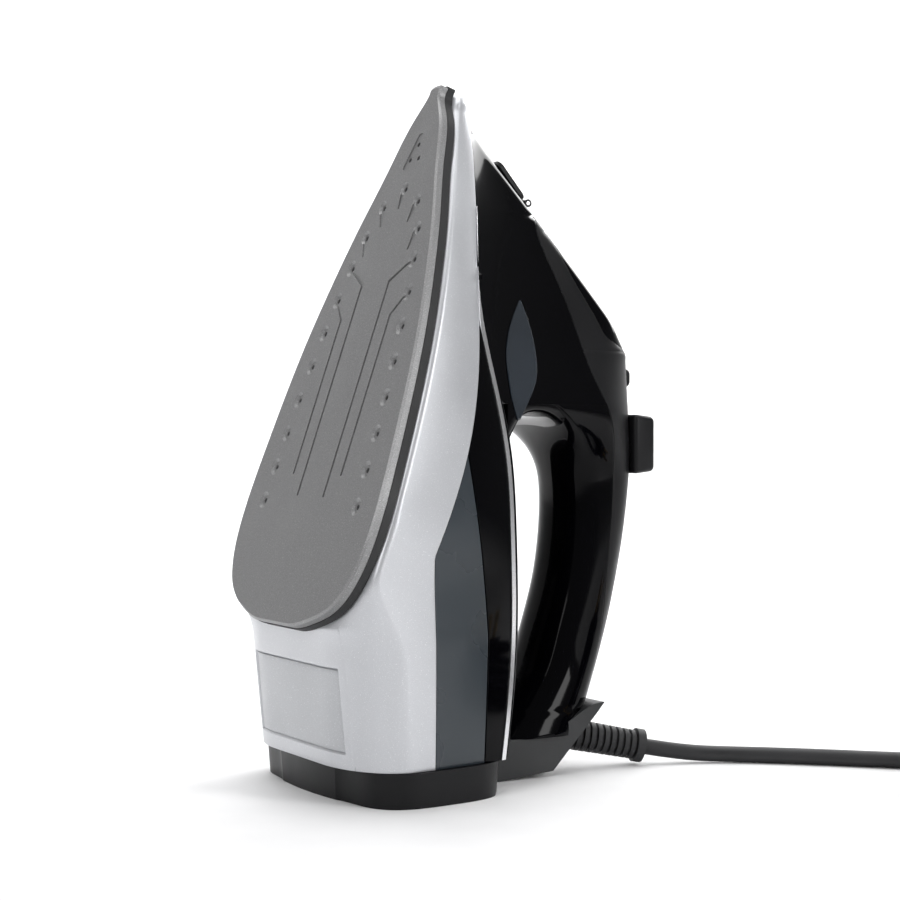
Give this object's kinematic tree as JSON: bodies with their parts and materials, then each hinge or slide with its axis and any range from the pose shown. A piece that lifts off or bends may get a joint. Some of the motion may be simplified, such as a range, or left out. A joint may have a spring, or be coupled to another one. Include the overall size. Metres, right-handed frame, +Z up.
{
  "type": "clothes iron",
  "caption": "Corded steam iron standing on its heel: pointed holed soleplate, silver lower shroud, gloss black handle loop, push keys, dial, hinged filler door and coiled cord with plug.",
  "frame": {"origin": "centre of the heel rest's flat face, on the surface that the iron stands on", "axes": "+Z up, nose at the top; -X is the side that the soleplate faces, +X the handle's side; the iron is symmetric about the XZ plane"},
  "size_m": [0.3178, 0.257, 0.2912],
  "materials": {
    "sole_coating": "matt non-stick coat with fine sparkle",
    "shield_black": "matt",
    "cast_aluminium": "as cast",
    "steel": "brushed",
    "silver_plastic": "metallic silver, satin",
    "slate_plastic": "semi gloss",
    "gloss_black": "polished",
    "chrome": "polished",
    "smoked_clear": "smoked, clear",
    "satin_black": "satin",
    "satin_grey": "satin",
    "rubber": "matt",
    "label": "satin silver film",
    "brass": "plain",
    "board": "coated board",
    "cable": "matt",
    "amber": "clear"
  },
  "bodies": {
    "root": {"soleplate": "sole_coating", "heat_shield": "shield_black", "heater_casting": "cast_aluminium", "heating_element": "steel", "chamber_gasket": "rubber", "chamber_cover": "steel", "cover_screws": "steel", "drip_valve": "satin_grey", "lower_shroud": "silver_plastic", "left_side_panel": "slate_plastic", "right_side_panel": "slate_plastic", "tank_band": "gloss_black", "chrome_trim": "chrome", "label_plate": "label", "saddle": "gloss_black", "handle_shell": "gloss_black", "handle_grip": "satin_black", "left_window": "smoked_clear", "right_window": "smoked_clear", "front_cap": "gloss_black", "spray_nozzle": "satin_grey", "filler_pin": "steel", "filler_lugs": "satin_black", "filler_seal": "rubber", "steam_pump": "satin_grey", "spray_pump": "satin_grey", "steam_spring": "steel", "spray_spring": "steel", "thermostat": "brass", "indicator_lens": "amber", "indicator_lamp": "amber", "water_reservoir": "smoked_clear", "control_board": "board", "tilt_switch": "satin_grey", "power_relay": "satin_black", "thermal_fuse": "brass", "heel_base": "satin_black", "heel_pads": "rubber", "heel_screws": "steel", "rear_foot": "satin_grey", "swivel_socket": "satin_grey", "terminal_block": "satin_grey", "cord_clamp": "satin_grey"},
    "dial": {"temperature_dial": "satin_black", "thermostat_shaft": "steel"},
    "slider": {"steam_slider": "satin_black"},
    "steam_key": {"steam_button": "satin_black", "steam_piston": "satin_grey"},
    "spray_key": {"spray_button": "satin_black", "spray_piston": "satin_grey"},
    "door": {"filler_door": "satin_black"},
    "cord": {"cord_guard": "cable", "mains_cord": "cable", "cord_coil": "cable", "plug_tail": "cable", "plug_body": "satin_black", "plug_pins": "brass"}
  },
  "joints": [
    {"name": "dial_turn", "type": "hinge", "parent": "root", "child": "dial", "pos_m": [0.047, 0, 0.1155], "axis": [1, 0, 0], "range_deg": [-135, 135]},
    {"name": "steam_slide", "type": "slide", "parent": "root", "child": "slider", "axis": [0, 0, -1], "range_m": [0, 0.007]},
    {"name": "steam_press", "type": "slide", "parent": "root", "child": "steam_key", "axis": [-1, 0, 0], "range_m": [0, 0.0035], "stiffness_N_per_m": 600, "springref_m": -0.002},
    {"name": "spray_press", "type": "slide", "parent": "root", "child": "spray_key", "axis": [-1, 0, 0], "range_m": [0, 0.0035], "stiffness_N_per_m": 600, "springref_m": -0.002},
    {"name": "door_open", "type": "hinge", "parent": "root", "child": "door", "pos_m": [0.07227, 0, 0.24352], "axis": [0, 1, 0], "range_deg": [0, 80]},
    {"name": "cord_swivel", "type": "hinge", "parent": "root", "child": "cord", "pos_m": [0.082, 0, 0.017], "axis": [0, 0, 1], "range_deg": [-10, 30]}
  ]
}
